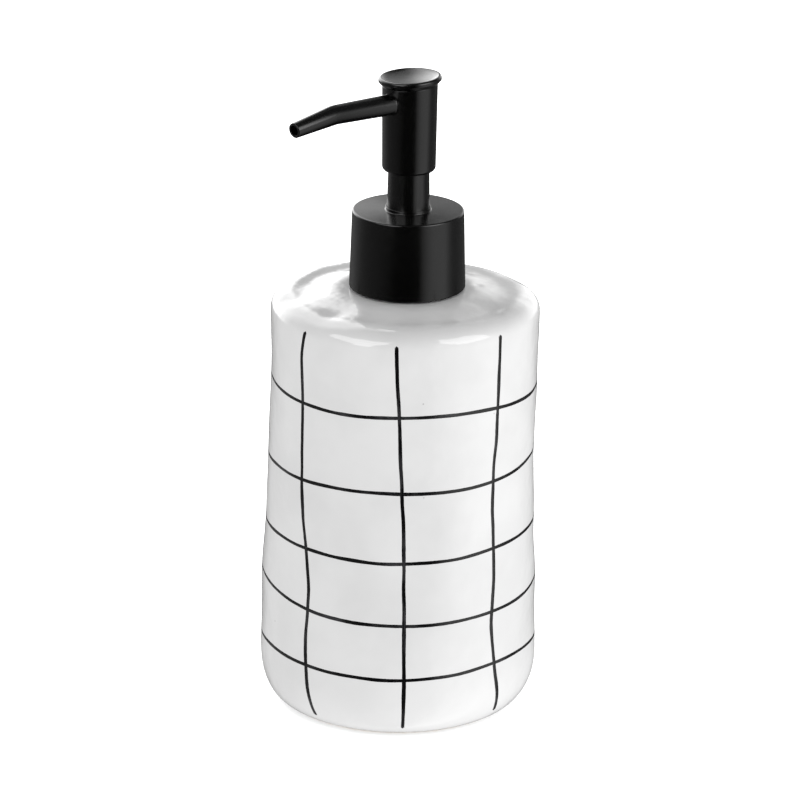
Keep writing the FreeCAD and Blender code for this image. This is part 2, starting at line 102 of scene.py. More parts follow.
class BottleSettings(bpy.types.PropertyGroup):
    """The hand-formed stoneware bottle."""
    height: size("Height", "Height of the flat land round the mouth", LAND_Z)
    belly: size("Belly radius", "Widest radius, near the foot", 39.6 * MM)
    belly_top: size("Belly top", "Height where the wall starts to draw in", 24 * MM)
    waist: size("Waist radius", "Radius under the shoulder", 38.2 * MM)
    waist_bottom: size("Waist bottom", "The wall keeps the waist radius above this height", 88 * MM)
    foot: size("Foot radius", "Edge of the flat underside", 30.6 * MM)
    foot_round: size("Foot round", "Height of the rounded foot", 15 * MM)
    shoulder_height: size("Shoulder height", "Height of the shoulder's round", 5.5 * MM)
    shoulder_width: size("Shoulder width", "Width of the shoulder's round", 7.5 * MM)
    shoulder_fall: size("Shoulder fall", "How far the top slopes down to the shoulder", 1.3 * MM)
    land: size("Land radius", "Radius of the flat land round the mouth", 17.82 * MM)
    mouth: size("Mouth radius", "Radius of the mouth's bore", 12 * MM)
    inner: size("Inner radius", "Radius of the hollow", 34.18 * MM)
    floor: size("Floor thickness", "Thickness of the bottle's floor", 5.5 * MM)
    roof: size("Roof thickness", "Thickness of the bottle's top", 6 * MM)
    inner_round: size("Inner round", "Round between the hollow's wall and its ends", 10 * MM)
    squareness: share("Squareness", "2 gives elliptical rounds, more gives squarer ones", 2.3)
    lean_top: size("Lean at the top", "The clay body's offset from the pump's axis", 0.4 * MM)
    lean_foot: size("Lean at the foot", "The clay body's offset from the pump's axis", 1.55 * MM)
    lean_angle: turn("Lean direction", "Direction of that offset", 225)
    wave: size("Wall wave", "Unevenness of the hand-worked wall", 0.22 * MM)
    ripple: size("Ripple", "Finger marks left in the clay under the glaze", 0.22 * MM)
    ripple_width: size("Ripple width", "Distance between the finger marks", 16 * MM)
    dip: size("Top dip", "The top sinks this far on one side", 1.2 * MM)
    dip_angle: turn("Dip direction", "The side on which the top sinks", 135)
    front: turn("Front", "Direction from which bearings on the bottle count", -45)


class PaintSettings(bpy.types.PropertyGroup):
    """The brushed black lines."""
    width: size("Line width", "Width of a brushed line", 1.12 * MM)
    proud: size("Line height", "How far the paint stands on the glaze", 0.05 * MM)
    unsteady: share("Unsteadiness", "How much a line's width varies", 0.16)
    colour: tint("Paint", "Iron-black underglaze where it lies thick", "#0d0d0e")
    thin_colour: tint("Thin paint", "The same paint where the brush ran dry", "#3c3c3e")


class PumpSettings(bpy.types.PropertyGroup):
    """The moulded pump."""
    closure_top_radius: size("Closure top radius", "The closure narrows to this at its top", 15.92 * MM)
    closure_cavity: size("Closure cavity", "Radius of the closure's hollow", 14.9 * MM)
    closure_plate: size("Closure plate", "Thickness of the closure's top", 1.2 * MM)
    closure_edge: size("Closure edge", "Round of the closure's top edge", 0.5 * MM)
    bead_height: size("Bead height", "Height of the little rim round the tower", 1.0 * MM)
    bead: size("Bead width", "Width of that rim", 0.26 * MM)
    tower_base: size("Tower base radius", "Tower radius where it leaves the closure", 6.1 * MM)
    tower_top: size("Tower top radius", "Tower radius at its top", 5.79 * MM)
    tower_bore: size("Tower bore", "Radius of the tower's bore", 4.3 * MM)
    tower_pocket: size("Wiper pocket radius", "Pocket in the tower's top for the wiper", 4.9 * MM)
    pocket_depth: size("Wiper pocket depth", "Depth of that pocket", 2 * MM)
    flange: size("Flange thickness", "Thickness of the tower's flange", 1.6 * MM)
    skirt: size("Skirt radius", "Radius of the tower's skirt under its flange", 6.45 * MM)
    head_radius: size("Head radius", "Radius of the head near its lower edge", 7.61 * MM)
    head_top: size("Head top radius", "Radius of the head under its cap", 7.86 * MM)
    head_edge: size("Head edge", "Round of the head's lower edge", 1.29 * MM)
    head_lip: size("Head lip", "Radius of the head's lower opening", 6.27 * MM)
    head_cavity: size("Head cavity", "Radius of the head's hollow", 6.47 * MM)
    cap_plane: size("Cap plane", "Height of the join between head and cap", 183.8 * MM)
    cap_radius: size("Cap radius", "Radius of the cap", 8.93 * MM)
    cap_thickness: size("Cap thickness", "Height of the cap above the head", 2.4 * MM)
    cap_cone: size("Cap cone", "The cap widens over this height", 1.15 * MM)
    cap_dish: size("Cap dish", "How far the cap's face is hollowed", 0.7 * MM)
    cap_rim: size("Cap rim", "Width of the rim round the dish", 0.9 * MM)
    cap_plug: size("Cap plug", "How far the cap reaches into the head", 0.8 * MM)
    cap_tilt: turn("Cap tilt", "Tilt of the cap", 2.9)
    cap_low_side: turn("Cap low side", "Direction of the cap's low side", 225)
    spout_height: size("Spout height", "Height where the spout's line meets the axis", 178.8 * MM)
    spout_rise: turn("Spout rise", "Slope of the spout's first run", 3.3)
    spout_fall: turn("Spout fall", "Slope of the spout's last run", 6.1)
    spout_corner: size("Spout corner", "Distance of the spout's bend from the axis", 30 * MM)
    spout_reach: size("Spout reach", "Distance of the spout's end from the axis", 44.9 * MM)
    spout_bend: size("Spout bend radius", "Radius of the spout's bend", 18 * MM)
    spout_root: size("Spout root radius", "Radius where the spout leaves the head", 3.0 * MM)
    spout_middle: size("Spout middle radius", "Radius at the bend", 2.77 * MM)
    spout_tip: size("Spout tip radius", "Radius at the end", 2.18 * MM)
    spout_bore: size("Spout bore", "Radius of the spout's bore", 1.45 * MM)
    spout_start: size("Spout start", "Distance of the spout's inner end from the axis", 4.6 * MM)
    spout_flare: size("Spout flare", "The small fillet where the spout leaves the head", 0.22 * MM)
    spout_lip: size("Spout lip", "Round of the spout's outer edge", 0.28 * MM)
    spout_hollow: size("Spout hollow", "How deep the bore is shown", 14 * MM)
    travel: size("Travel", "How far the head can be pressed", 10 * MM)
    wire: size("Spring wire radius", "Half the thickness of the spring's wire", 0.45 * MM)
    coils: bpy.props.IntProperty(name="Spring coils", description="Turns of the spring", default=7)


class FinishSettings(bpy.types.PropertyGroup):
    """Colours of the materials."""
    glaze: tint("Glaze", "White glaze where it lies thick", "#f2f2f2")
    glaze_thin: tint("Thin glaze", "The glaze where it is thinner and the clay shows through", "#ebebeb")
    glaze_speck: tint("Specks", "Iron specks in the clay", "#858380")
    clay: tint("Clay", "Unglazed clay on the underside", "#d8cfc2")
    black: tint("Black plastic", "Black pigmented polypropylene", "#040404")
    natural: tint("Natural plastic", "Unpigmented polypropylene", "#e3e5e2")
    tube: tint("Tube plastic", "Milky polyethylene", "#e9ebe8")
    rubber: tint("Rubber", "Black sealing rubber", "#1d1d1e")
    steel: tint("Steel", "Stainless steel", "#c9c8c6")


class StageSettings(bpy.types.PropertyGroup):
    """Floor, light and camera."""
    azimuth: turn("Azimuth", "The camera's bearing round the object", 45)
    elevation: turn("Elevation", "The camera's height above the horizon", 19.43)
    distance: size("Distance", "From the camera to the point it looks at", 1434.5 * MM)
    aim_height: size("Aim height", "Height of the point the camera looks at", CLOSURE_LOW.z - 34.8 * MM)
    aim_side: size("Aim offset", "The point's offset to the camera's right", -1.58 * MM)
    roll: turn("Roll", "The camera's roll", 0.8)
    lens: share("Lens", "Focal length in millimetres", 225.0)


# ---- modelling steps that pieces share
def finish_shape(piece, sharp_degrees):
    """Merges what meets, turns every face outwards and leaves edit mode."""
    bpy.ops.mesh.select_all(action="SELECT")
    bpy.ops.mesh.remove_doubles(threshold=MERGE)
    bpy.ops.mesh.normals_make_consistent(inside=False)
    bpy.ops.object.mode_set(mode="OBJECT")
    bpy.ops.object.shade_smooth_by_angle(angle=math.radians(sharp_degrees))
    return piece


def name_new(name):
    piece = bpy.context.active_object
    piece.name = name
    piece.data.name = name
    return piece


def turned(name, outline, steps, sharp_degrees=30):
    """A piece turned about the pump's axis from the (radius, height) points of its outline."""
    bpy.ops.object.select_all(action="DESELECT")
    bpy.ops.mesh.primitive_plane_add(size=MM, location=(0, 0, 0))
    piece = name_new(name)
    bpy.ops.object.mode_set(mode="EDIT")
    bpy.ops.mesh.select_all(action="SELECT")
    bpy.ops.mesh.merge(type="CENTER")
    here = Vector((outline[0][0], 0, outline[0][1]))
    bpy.ops.transform.translate(value=here)
    for radius, height in outline[1:]:
        there = Vector((radius, 0, height))
        bpy.ops.mesh.extrude_region_move(TRANSFORM_OT_translate={"value": there - here})
        here = there
    bpy.ops.mesh.select_all(action="SELECT")
    bpy.ops.mesh.spin(steps=steps, angle=math.tau, center=(0, 0, 0), axis=(0, 0, 1))
    return finish_shape(piece, sharp_degrees)


def rounded(corners, steps=5):
    """The points of a closed outline whose corners (radius, height, round) are rounded off."""
    points = []
    for index, (radius, height, fillet) in enumerate(corners):
        here = Vector((radius, height))
        if fillet == 0:
            points.append(here)
            continue
        back = (Vector(corners[index - 1][:2]) - here).normalized()
        ahead = (Vector(corners[(index + 1) % len(corners)][:2]) - here).normalized()
        half = back.angle(ahead) / 2
        centre = here + (back + ahead).normalized() * (fillet / math.sin(half))
        first = here + back * (fillet / math.tan(half)) - centre
        last = here + ahead * (fillet / math.tan(half)) - centre
        sweep = math.pi - 2 * half
        for step in range(steps + 1):
            done = step / steps
            arm = first * math.sin((1 - done) * sweep) + last * math.sin(done * sweep)
            points.append(centre + arm / math.sin(sweep))
    return points


def closed(points):
    """An outline that comes back to its first point."""
    return list(points) + [points[0]]


def give(piece, body, material, nodes=()):
    """Puts a finished piece on its body, in place of its CAD nodes, with its material."""
    piece.data.materials.clear()
    piece.data.materials.append(material)
    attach(piece, body)
    if nodes:
        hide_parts(*nodes)


# ---- the bottle's surface
# Thumb marks in the top: bearing from the front in degrees, then in millimetres the distance
# from the axis, the depth, and the half-length outwards and across.
THUMB_MARKS = (
    (99, 20.5, 0.35, 0.9, 1.4),
    (-41, 31, 0.1, 6.5, 2.5),
    (-62, 25, -0.25, 5, 6),
    (57, 27, 0.22, 6, 4),
)


def thumbed(radius, angle, front):
    """How deep the thumb marks are at a place on the bottle's top."""
    deep = 0.0
    for bearing, distance, depth, outward, across in THUMB_MARKS:
        swing = math.remainder(angle - front - math.radians(bearing), math.tau)
        out = (radius / MM - distance) / outward
        side = swing * distance / across
        deep += depth * MM * math.exp(-out ** 2 - side ** 2)
    return deep


def wall_radius(height, s):
    draw_in = smooth((s.waist_bottom - height) / (s.waist_bottom - s.belly_top))
    return s.waist + (s.belly - s.waist) * draw_in


def shoulder_start(s):
    return s.height - s.shoulder_fall - s.shoulder_height


def side_profile(height, s):
    """(radius, share of the wall's unevenness, share of the top's) at a height of the side."""
    power = 2 / s.squareness
    if height < s.foot_round:
        cosine = (1 - max(height, 0.0) / s.foot_round) ** (1 / power)
        sine = math.sqrt(max(1 - cosine ** 2, 0.0))
        reach = wall_radius(s.foot_round, s) - s.foot
        return s.foot + reach * sine ** power, smooth(math.asin(sine) / (math.pi / 2)), 0.0
    start = shoulder_start(s)
    if height <= start:
        return wall_radius(height, s), 1.0, 0.0
    sine = min((height - start) / s.shoulder_height, 1.0) ** (1 / power)
    cosine = math.sqrt(max(1 - sine ** 2, 0.0))
    edge = s.waist - s.shoulder_width
    return edge + s.shoulder_width * cosine ** power, cosine, sine


def hand_worked(point, s):
    """Moves a point of the plain turned bottle to where the potter's hands left it."""
    radius = math.hypot(point.x, point.y)
    inside = radius < s.inner + 0.1 * MM and s.floor - MM < point.z < s.height - s.roof + MM
    if inside or radius < s.mouth + 1.2 * MM:
        return point.copy()
    angle = math.atan2(point.y, point.x)
    edge = s.waist - s.shoulder_width
    if radius < edge and point.z > s.height / 2:
        inward = (edge - radius) / (edge - s.land)
        side, top = 0.0, 1 - smooth(inward)
        settled = 1 - smooth((inward - 0.7) / 0.3)
    else:
        side, top = side_profile(point.z, s)[1:]
        settled = 1.0
    wave = math.sin(2 * angle + 45 * point.z) + 0.7 * math.sin(3 * angle - 70 * point.z)
    mark = noise.noise(point / s.ripple_width) * s.ripple * 2
    if point.z > shoulder_start(s):
        dent = thumbed(radius, angle, s.front) * settled * smooth((point.z - shoulder_start(s)) / MM / 4)
    else:
        dent = 0.0
    reach = radius + (s.wave * wave + mark) * side
    dip = s.dip * top * (0.5 + 0.5 * math.cos(angle - s.dip_angle)) ** 2
    lean = (s.lean_foot + (s.lean_top - s.lean_foot) * point.z / s.height) * settled
    return Vector((
        reach * math.cos(angle) + lean * math.cos(s.lean_angle),
        reach * math.sin(angle) + lean * math.sin(s.lean_angle),
        point.z - dip - dent + mark * top * 2,
    ))


def bottle_outline(s):
    """From the middle of the underside up the outside, through the mouth and round the hollow."""
    points = [(0.0, 0.0), (s.foot * 0.5, 0.0)]
    power = 2 / s.squareness
    for degrees in range(0, 90, 4):
        height = s.foot_round * (1 - math.cos(math.radians(degrees)) ** power)
        points.append((side_profile(height, s)[0], height))
    start = shoulder_start(s)
    bands = 48
    for band in range(bands):
        height = s.foot_round + (start - s.foot_round) * band / bands
        points.append((wall_radius(height, s), height))
    for degrees in range(0, 91, 5):
        height = start + s.shoulder_height * math.sin(math.radians(degrees)) ** power
        points.append((side_profile(height, s)[0], height))
    edge = s.waist - s.shoulder_width
    bands = 12
    for band in range(1, bands + 1):
        height = s.height - s.shoulder_fall * (1 - smooth(band / bands))
        points.append((edge + (s.land - edge) * band / bands, height))
    roof = s.height - s.roof
    hollow = rounded([
        (s.mouth, s.height, 0.4 * MM),
        (s.mouth, roof, 0.6 * MM),
        (s.inner, roof, s.inner_round),
        (s.inner, s.floor, s.inner_round),
        (0.0, s.floor, 0),
        (s.land, s.height, 0),
    ], steps=8)
    return points + hollow[:-1]


# ---- materials
GLAZE = "dipped_white_glaze_on_stoneware"
PAINT = "brushed_black_underglaze"
RUBBER = "moulded_nitrile_rubber"
BLACK = "moulded_black_polypropylene"


def grey(level):
    return (level, level, level, 1.0)


def add(tree, kind, settings=None, **sockets):
    """Adds a node with its settings. A socket is given a value, or (node, output) to link to."""
    made = tree.nodes.new("ShaderNode" + kind)
    for key, value in (settings or {}).items():
        if key == "stops":
            ramp = made.color_ramp
            while len(ramp.elements) < len(value):
                ramp.elements.new(0.5)
            for element, (place, colour) in zip(ramp.elements, value):
                element.position = place
                element.color = colour
        else:
            setattr(made, key, value)
    for key, value in sockets.items():
        name = key.replace("_", " ")
        socket = made.inputs[int(name[1:])] if name[0] == "i" and name[1:].isdigit() else made.inputs[name]
        if isinstance(value, tuple) and isinstance(value[0], bpy.types.Node):
            tree.links.new(value[0].outputs[value[1]], socket)
        else:
            socket.default_value = value
    return made


def new_material(name):
    """An empty material, its node tree, and the object's own coordinates in it."""
    material = bpy.data.materials.new(name)
    material.use_nodes = True
    tree = material.node_tree
    tree.nodes.clear()
    return material, tree, (add(tree, "TexCoord"), "Object")


def close_material(tree, shader):
    add(tree, "OutputMaterial", Surface=(shader, "BSDF"))


def per_mm(spacing):
    """The scale at which a pattern on object coordinates repeats every so many millimetres."""
    return 1 / (spacing * MM)


def patches(tree, place, spacing, detail, **more):
    """Soft random patches, so many millimetres apart."""
    return add(tree, "TexNoise", Vector=place, Scale=per_mm(spacing), Detail=detail, **more), "Fac"


def stretched(tree, place, scale):
    return add(tree, "Mapping", Vector=place, Scale=scale), "Vector"


def mix(tree, factor, first, second):
    """A colour between two."""
    return add(tree, "Mix", {"data_type": "RGBA"}, Factor=factor, i6=first, i7=second), 2


def maths(tree, operation, *values):
    inputs = {"i%d" % place: value for place, value in enumerate(values)}
    return add(tree, "Math", {"operation": operation}, **inputs), "Value"


def fade(tree, value, low, high, start=0.0, end=1.0):
    """Goes softly from start to end while the value goes from low to high."""
    return add(tree, "MapRange", {"interpolation_type": "SMOOTHSTEP"}, Value=value,
               From_Min=low, From_Max=high, To_Min=start, To_Max=end), "Result"


def evenly(tree, value, start, end, low=0.0, high=1.0):
    """Goes evenly from start to end while the value goes from low to high."""
    made = add(tree, "MapRange", Value=value, From_Min=low, From_Max=high, To_Min=start, To_Max=end)
    return made, "Result"


def bumps(tree, height, depth, **more):
    """Relief of so many millimetres."""
    return add(tree, "Bump", Strength=1.0, Distance=depth * MM, Height=height, **more), "Normal"


def glazed_stoneware(colours):
    """Tin-white glazed stoneware: dipped and fired, so the glaze is glossy, pools a little,
    and lets a few iron specks of the clay through. The underside is wiped to bare clay."""
    material, tree, place = new_material(GLAZE)
    pooled = fade(tree, patches(tree, place, 26, 3.0, Roughness=0.55), 0.35, 0.65)
    white = mix(tree, pooled, tuple(colours.glaze_thin), tuple(colours.glaze))
    cells = add(tree, "TexVoronoi", Vector=place, Scale=per_mm(7.5), Randomness=1.0)
    # iron specks are about 0.1 mm across, and drawn at about 0.3 mm so that they show
    near = fade(tree, (cells, "Distance"), 0.02, 0.045, 1.0, 0.0)
    chosen = add(tree, "SeparateColor", Color=(cells, "Color"))
    few = maths(tree, "LESS_THAN", (chosen, "Red"), 0.12)
    pale = maths(tree, "MULTIPLY", maths(tree, "MULTIPLY", near, few), 0.45)
    specked = mix(tree, pale, white, tuple(colours.glaze_speck))
    height = (add(tree, "SeparateXYZ", Vector=place), "Z")
    edge = maths(tree, "MULTIPLY_ADD", patches(tree, place, 0.9, 4.0), 0.5 * MM, height)
    bare = fade(tree, edge, 0.45 * MM, 0.6 * MM, 1.0, 0.0)
    colour = mix(tree, bare, specked, tuple(colours.clay))
    gloss = evenly(tree, patches(tree, place, 11, 4.0), 0.025, 0.055)
    clay_roughness = 0.82
    roughness = add(tree, "Mix", {"data_type": "FLOAT"}, Factor=bare, i2=gloss, i3=clay_roughness)
    waves = bumps(tree, patches(tree, place, 8, 2.0, Roughness=0.45), 0.28)
    skin = bumps(tree, patches(tree, place, 1.6, 2.0), 0.0025, Normal=waves)
    shader = add(tree, "BsdfPrincipled", Base_Color=colour, Roughness=(roughness, 0), IOR=1.55, Normal=skin)
    close_material(tree, shader)
    return material


def underglaze_paint(paint):
    """Iron-black underglaze: brushed on by hand, so it is streaked along the stroke,
    darkest where the brush was full, and has the gloss of the clear glaze over it."""
    material, tree, place = new_material(PAINT)
    # the ribbon's own coordinates are metres along and across the stroke
    along = stretched(tree, (place[0], "UV"), (0.16 / MM, 2.2 / MM, 1.0))
    streak = (add(tree, "TexNoise", Vector=along, Scale=1.0, Detail=3.0, Roughness=0.6), "Fac")
    load = patches(tree, place, 12, 2.0)
    dry = fade(tree, maths(tree, "ADD", streak, load), 0.98, 1.3)
    colour = mix(tree, dry, tuple(paint.colour), tuple(paint.thin_colour))
    gloss = evenly(tree, load, 0.08, 0.18)
    shader = add(tree, "BsdfPrincipled", Base_Color=colour, Roughness=gloss, IOR=1.55,
                 Normal=bumps(tree, streak, 0.006))
    close_material(tree, shader)
    return material


def moulded_plastic(name, base, lift, spacing, gloss, grain_height, see_through, scatter):
    """Injection-moulded polymer: the skin copies the mould, so it has a faint even grain,
    long soft flow marks, and gloss that varies a little from touch and wear."""
    material, tree, place = new_material(name)
    flow = patches(tree, stretched(tree, place, (1.0, 1.0, 0.25)), 6, 3.0, Distortion=0.4)
    lifted = tuple(min(c * lift, 1.0) for c in base[:3]) + (1.0,)
    colour = mix(tree, flow, tuple(base), lifted)
    touch = patches(tree, place, 4, 5.0, Roughness=0.65)
    roughness = evenly(tree, touch, *gloss, 0.3, 0.7)
    # mould grain is about 0.05 mm across, and drawn coarser so that it shows
    skin = bumps(tree, patches(tree, place, spacing, 2.0), grain_height)
    shader = add(tree, "BsdfPrincipled", Base_Color=colour, Roughness=roughness, IOR=1.5, Normal=skin,
                 Transmission_Weight=see_through, Subsurface_Weight=scatter, Subsurface_Scale=1.5 * MM)
    close_material(tree, shader)
    return material


def sealing_rubber(colours):
    """Moulded nitrile rubber: matt black with a dusty bloom."""
    material, tree, place = new_material(RUBBER)
    bloom = patches(tree, place, 2.5, 5.0, Roughness=0.7)
    colour = mix(tree, bloom, tuple(colours.rubber), linear("#39393a"))
    roughness = evenly(tree, bloom, 0.55, 0.8)
    shader = add(tree, "BsdfPrincipled", Base_Color=colour, Roughness=roughness, IOR=1.52,
                 Normal=bumps(tree, bloom, 0.01))
    close_material(tree, shader)
    return material


def stainless_steel(name, colours, stretch, spacing):
    """Stainless steel with the fine lines that drawing or grinding leaves, so its gloss is streaked."""
    material, tree, place = new_material(name)
    lines = patches(tree, stretched(tree, place, stretch), spacing, 4.0)
    colour = mix(tree, lines, tuple(colours.steel), linear("#dddcda"))
    roughness = evenly(tree, lines, 0.12, 0.3)
    shader = add(tree, "BsdfPrincipled", Base_Color=colour, Metallic=1.0, Roughness=roughness,
                 Normal=bumps(tree, lines, 0.002))
    close_material(tree, shader)
    return material


# The moulded plastics: which colour, how bright the flow marks are against it, the grain's spacing
# in millimetres, the least and most roughness, the grain's height in millimetres, and how much
# light goes through and scatters inside.
PLASTICS = {
    "moulded_black_polypropylene": ("black", 1.35, 0.35, (0.16, 0.24), 0.0012, 0.0, 0.0),
    "plain_black_polypropylene": ("black", 1.6, 0.3, (0.34, 0.46), 0.004, 0.0, 0.0),
    "natural_polypropylene": ("natural", 0.94, 0.4, (0.26, 0.38), 0.003, 0.35, 0.3),
    "extruded_polyethylene": ("tube", 0.96, 0.5, (0.3, 0.42), 0.003, 0.55, 0.2),
    "soft_white_polyethylene": ("tube", 0.97, 0.4, (0.35, 0.48), 0.004, 0.0, 0.4),
}

# The steels: how the lines are stretched along each axis, and their spacing in millimetres.
STEELS = {
    "drawn_stainless_wire": ((0.15, 0.15, 1.0), 0.12),
    "ground_stainless_ball": ((1.0, 1.0, 1.0), 0.2),
}


def finish(name):
    """The material of that name, made the first time it is asked for."""
    colours = bpy.context.scene.dispenser_finish
    made = bpy.data.materials.get(name)
    if made:
        return made
    if name == GLAZE:
        return glazed_stoneware(colours)
    if name == PAINT:
        return underglaze_paint(bpy.context.scene.dispenser_paint)
    if name == RUBBER:
        return sealing_rubber(colours)
    if name in STEELS:
        return stainless_steel(name, colours, *STEELS[name])
    base, *look = PLASTICS[name]
    return moulded_plastic(name, getattr(colours, base), *look)


# ---- operators
class DISPENSER_OT_bottle(bpy.types.Operator):
    """Turns the hollow bottle and works its surface by hand"""
    bl_idname = "dispenser.bottle"
    bl_label = "Glazed bottle"

    def execute(self, context):
        s = context.scene.dispenser_bottle
        piece = turned("glazed_bottle", bottle_outline(s), 256, 40)
        for vertex in piece.data.vertices:
            vertex.co = hand_worked(vertex.co, s)
        give(piece, "bottle_body", finish(GLAZE), ["bottle"])
        piece.visible_glossy = False
        return {"FINISHED"}


def between(points, place):
    """A smooth curve through (place, value) points, read at one place."""
    index = 0
    while index < len(points) - 2 and (points[index + 1][0] - place) * (points[0][0] - place) > 0:
        index += 1
    before = points[max(index - 1, 0)]
    start, end = points[index], points[index + 1]
    after = points[min(index + 2, len(points) - 1)]
    done = min(max((place - start[0]) / (end[0] - start[0]), 0.0), 1.0)
    span = end[0] - start[0]
    leave = (end[1] - before[1]) / (end[0] - before[0]) * span
    arrive = (after[1] - start[1]) / (after[0] - start[0]) * span
    square, cube = done ** 2, done ** 3
    return ((2 * cube - 3 * square + 1) * start[1] + (cube - 2 * square + done) * leave
            + (3 * square - 2 * cube) * end[1] + (cube - square) * arrive)


# A brush stroke's unevenness: what is repeated every so many millimetres, and how strongly, as a
# share of the line's width.
RAGGED_EVERY, RAGGED = 1.6, 0.35
SWELL_EVERY, SWELL = 9, 1.3
OTHER_EDGE = 40     # how far apart the two edges read the noise
TIP_BLUNT = 0.02    # the stroke's ends keep this share of its width
SUNK = 0.01 * MM    # the paint's edge lies this far in the glaze


def brushed_line(name, steps, length, place, closed_loop, fullness=1.0):
    """A brush stroke: a thin crowned ribbon of paint laid on the glaze along a course.
    place(share, across) gives a point's bearing and height, with across in metres."""
    scene = bpy.context.scene
    s, paint = scene.dispenser_bottle, scene.dispenser_paint
    rows = 6
    bpy.ops.object.select_all(action="DESELECT")
    bpy.ops.mesh.primitive_grid_add(x_subdivisions=steps, y_subdivisions=rows, size=1.0, location=(0, 0, 0))
    piece = name_new(name)
    seed = 37.0 * sum(ord(letter) for letter in name)
    for vertex in piece.data.vertices:
        done = vertex.co.x + 0.5
        side = vertex.co.y * 2
        along = done * length
        around = done * math.tau
        loop = Vector((math.cos(around), math.sin(around), 0)) * (length / math.tau)
        walk = (loop if closed_loop else Vector((along, 0, 0))) / MM
        edge = math.copysign(1.0, side) * OTHER_EDGE
        ragged = noise.noise(walk / RAGGED_EVERY + Vector((seed, edge, 0))) * RAGGED
        swell = noise.noise(walk / SWELL_EVERY + Vector((0, seed, 0)))
        half = paint.width / 2 * fullness * (1 + paint.unsteady * (swell * SWELL + ragged))
        if not closed_loop:
            reach = min(along, length - along) / (paint.width / 2)
            roundness = math.sqrt(max(1 - (1 - min(reach, 1.0)) ** 2, 0.0))
            half *= roundness * (1 - TIP_BLUNT) + TIP_BLUNT
        bearing, height = place(done, side * half)
        lift = paint.proud * (1 - side ** 4) - SUNK
        radius = side_profile(height, s)[0] + lift
        angle = s.front + bearing
        vertex.co = hand_worked(Vector((radius * math.cos(angle), radius * math.sin(angle), height)), s)
    layer = piece.data.uv_layers.active.data
    for loop in layer:
        loop.uv = (loop.uv[0] * length, loop.uv[1] * paint.width)
    thicken = piece.modifiers.new("Underside", "SOLIDIFY")
    thicken.thickness = paint.proud * 1.2
    thicken.offset = -1.0
    bpy.ops.object.modifier_apply(modifier=thicken.name)
    bpy.ops.object.mode_set(mode="EDIT")
    finish_shape(piece, 60)
    give(piece, "bottle_body", finish(PAINT))


# Each ring: its height in millimetres, then how far it rises and falls once, twice and three
# times round, as (towards the front, towards the front's right) pairs.
RINGS = (
    (97.7, (-0.1, -0.8), (-0.1, 0.2), (0.2, 0.4)),
    (75.9, (-0.5, 0.9), (-0.6, 0.1), (0.4, -0.4)),
    (55.1, (-0.2, 0.5), (-0.4, 0.3), (-0.1, -0.1)),
    (37.6, (-1.0, -0.5), (-1.4, 0.4), (0.5, 0.0)),
    (19.3, (0.3, -0.1), (0.0, 0.5), (-0.5, -0.1)),
)

# Each upright: (height in millimetres, bearing in degrees) along its course, from the top down.
UPRIGHTS = (
    ((118.9, -47.2), (112, -48.6), (101, -47.7), (82, -47.4), (64, -45.8), (43, -41.2), (29, -41.8),
     (16, -40.8), (3.7, -37.9)),
    ((118.9, -3.6), (97, -1.6), (75, 0.3), (60, 1.6), (45, 2.1), (26, 2.7), (3.0, 3.2)),
    ((118.9, 45.0), (104, 44.5), (88, 44.0), (71, 42.3), (51, 43.1), (34, 42.3), (20, 44.8), (4.1, 48.6)),
    ((119.2, 92), (92, 90.5), (60, 92.5), (30, 90), (3.6, 93)),
    ((118.6, 134), (90, 136), (52, 133.5), (24, 136.5), (3.2, 135)),
    ((119.1, 178), (88, 179.5), (58, 182), (26, 180), (3.9, 183)),
    ((118.8, 226), (94, 223.5), (61, 224.5), (28, 227), (3.4, 225)),
    ((118.7, 269), (86, 271), (50, 268), (21, 270.5), (3.8, 267)),
)


# The hand's shake, in millimetres on a ring and in degrees on an upright.
RING_SHAKE = 0.12
UPRIGHT_SHAKE, UPRIGHT_SHAKE_EVERY = 0.25, 7
# The brush was fuller on the uprights at the sides than on those at the front and back.
SIDE_FULLNESS = 0.22


class DISPENSER_OT_painted_lines(bpy.types.Operator):
    """Brushes the rings and the uprights of the grid onto the bottle"""
    bl_idname = "dispenser.painted_lines"
    bl_label = "Painted lines"

    def execute(self, context):
        s = context.scene.dispenser_bottle
        for count, (height, *waves) in enumerate(RINGS, 1):
            def ring_place(done, across, height=height, waves=waves):
                bearing = done * math.tau
                walk = Vector((math.cos(bearing) * 4, math.sin(bearing) * 4, height))
                level = height + RING_SHAKE * noise.noise(walk)
                for turns, (front, right) in enumerate(waves, 1):
                    level += front * math.cos(turns * bearing) + right * math.sin(turns * bearing)
                return bearing, level * MM + across
            brushed_line("painted_ring_%d" % count, 440, math.tau * s.waist, ring_place, True)
        for count, course in enumerate(UPRIGHTS, 1):
            top, bottom = course[0][0], course[-1][0]

            def upright_place(done, across, course=course, top=top, bottom=bottom):
                height = top + (bottom - top) * done
                wobble = UPRIGHT_SHAKE * noise.noise(Vector((height / UPRIGHT_SHAKE_EVERY, course[0][1], 0)))
                bearing = math.radians(between(course, height) + wobble)
                return bearing + across / s.waist, height * MM
            fullness = 1 + SIDE_FULLNESS * abs(math.sin(math.radians(course[0][1])))
            brushed_line(
                "painted_upright_%d" % count, 260, (top - bottom) * MM, upright_place, False, fullness)
        return {"FINISHED"}


